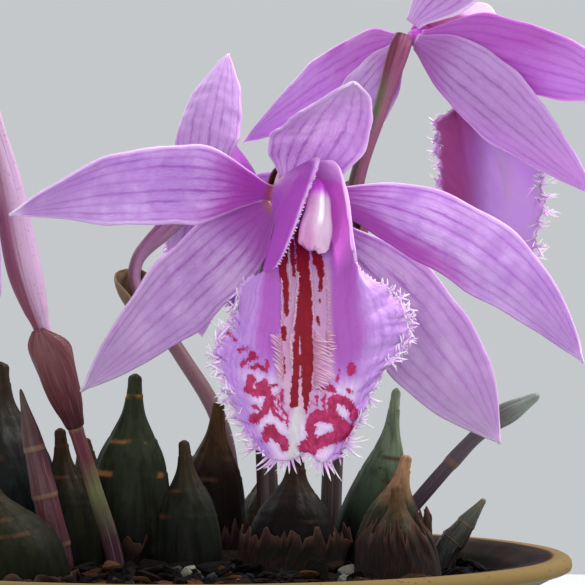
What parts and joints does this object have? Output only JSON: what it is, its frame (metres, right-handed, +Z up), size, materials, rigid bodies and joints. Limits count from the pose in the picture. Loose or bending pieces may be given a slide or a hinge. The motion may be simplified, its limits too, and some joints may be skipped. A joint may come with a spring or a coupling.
{
  "type": "potted orchid",
  "caption": "Round glazed pan with bark compost, flask-shaped pseudobulbs and leafless stalks that carry lilac orchid blooms with red-keeled, fringed lips.",
  "frame": {"origin": "centre of the pan's flat foot, on the surface it stands on", "axes": "+Z up; -Y towards the front, which the main bloom faces; +X to the right as seen from the front"},
  "size_m": [0.1442, 0.1491, 0.1724],
  "materials": {
    "glaze": "gloss",
    "compost": "matte",
    "bulb": "satin",
    "husk": "matte",
    "stalk": "satin",
    "bract": "matte",
    "sepal": "satin",
    "petal": "satin",
    "lip": "satin",
    "column": "satin"
  },
  "bodies": {
    "root": {"pan": "glaze", "compost": "compost", "bulb_left_front": "bulb", "bulb_left_rear": "bulb", "bulb_left_inner": "bulb", "bulb_tall": "bulb", "bulb_grey": "bulb", "bulb_middle": "bulb", "bulb_maroon": "bulb", "bulb_green_tip": "bulb", "bulb_tan_tip": "bulb", "bulb_right_front": "bulb", "bulb_rear_left": "bulb", "bulb_rear_middle": "bulb", "dry_stalk": "husk", "new_shoot": "stalk", "side_shoot": "bulb", "husk_right_front": "husk", "husk_tan_tip": "husk", "husk_middle": "husk", "front_stalk": "stalk", "front_bract": "bract", "front_dorsal_sepal": "sepal", "front_left_petal": "petal", "front_right_petal": "petal", "front_left_sepal": "sepal", "front_right_sepal": "sepal", "front_lip": "lip", "front_column": "column", "right_stalk": "stalk", "right_bract": "bract", "right_dorsal_sepal": "sepal", "right_left_petal": "petal", "right_right_petal": "petal", "right_left_sepal": "sepal", "right_right_sepal": "sepal", "right_lip": "lip", "right_column": "column", "rear_stalk": "stalk", "rear_bract": "bract", "rear_dorsal_sepal": "sepal", "rear_left_petal": "petal", "rear_right_petal": "petal", "rear_left_sepal": "sepal", "rear_right_sepal": "sepal", "rear_lip": "lip", "rear_column": "column", "left_stalk": "stalk", "left_bract": "bract", "left_dorsal_sepal": "sepal", "left_left_petal": "petal", "left_right_petal": "petal", "left_left_sepal": "sepal", "left_right_sepal": "sepal", "left_lip": "lip", "left_column": "column"}
  },
  "joints": []
}
